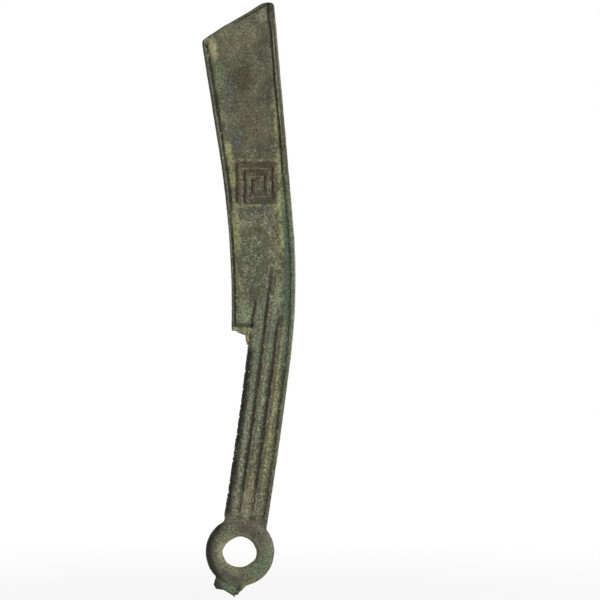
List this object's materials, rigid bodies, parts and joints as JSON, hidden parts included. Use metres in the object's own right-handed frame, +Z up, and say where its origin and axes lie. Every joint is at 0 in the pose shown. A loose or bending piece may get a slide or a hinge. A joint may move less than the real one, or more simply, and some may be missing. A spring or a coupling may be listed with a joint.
{
  "type": "knife money",
  "caption": "Knife-shaped cast bronze coin with a slightly curved blade, a ribbed handle, a ring at its foot and low raised rims and ornaments, covered in green and brown patina",
  "frame": {"origin": "centre of the ring's hole, at the middle of the coin's thickness", "axes": "+Z runs up from the ring towards the blade's point, +X runs from the cutting edge to the spine, and +Y points out of the reverse face along the ring's hole"},
  "size_m": [0.0219, 0.0018, 0.1382],
  "materials": {
    "field_patina": "matte cast bronze, grey-brown patina with fine olive specks",
    "worn_bronze": "worn cast bronze, dark brown on the raised lines",
    "verdigris": "rough cast bronze under a green crust"
  },
  "bodies": {
    "root": {"blade_web": "field_patina", "handle_web": "field_patina", "ring": "worn_bronze", "casting_stub": "verdigris", "heel_flash": "verdigris", "obverse_spine_rim": "worn_bronze", "obverse_edge_rim": "worn_bronze", "obverse_tip_rim": "worn_bronze", "obverse_handle_rim": "worn_bronze", "obverse_spine_rib": "worn_bronze", "obverse_edge_rib": "worn_bronze", "obverse_mark": "worn_bronze", "reverse_spine_rim": "worn_bronze", "reverse_edge_rim": "verdigris", "reverse_tip_rim": "verdigris", "reverse_handle_rim": "verdigris", "reverse_spine_rib": "worn_bronze", "reverse_edge_rib": "worn_bronze", "reverse_mark_top": "worn_bronze", "reverse_mark_middle": "worn_bronze", "reverse_mark_foot": "worn_bronze"}
  },
  "joints": []
}
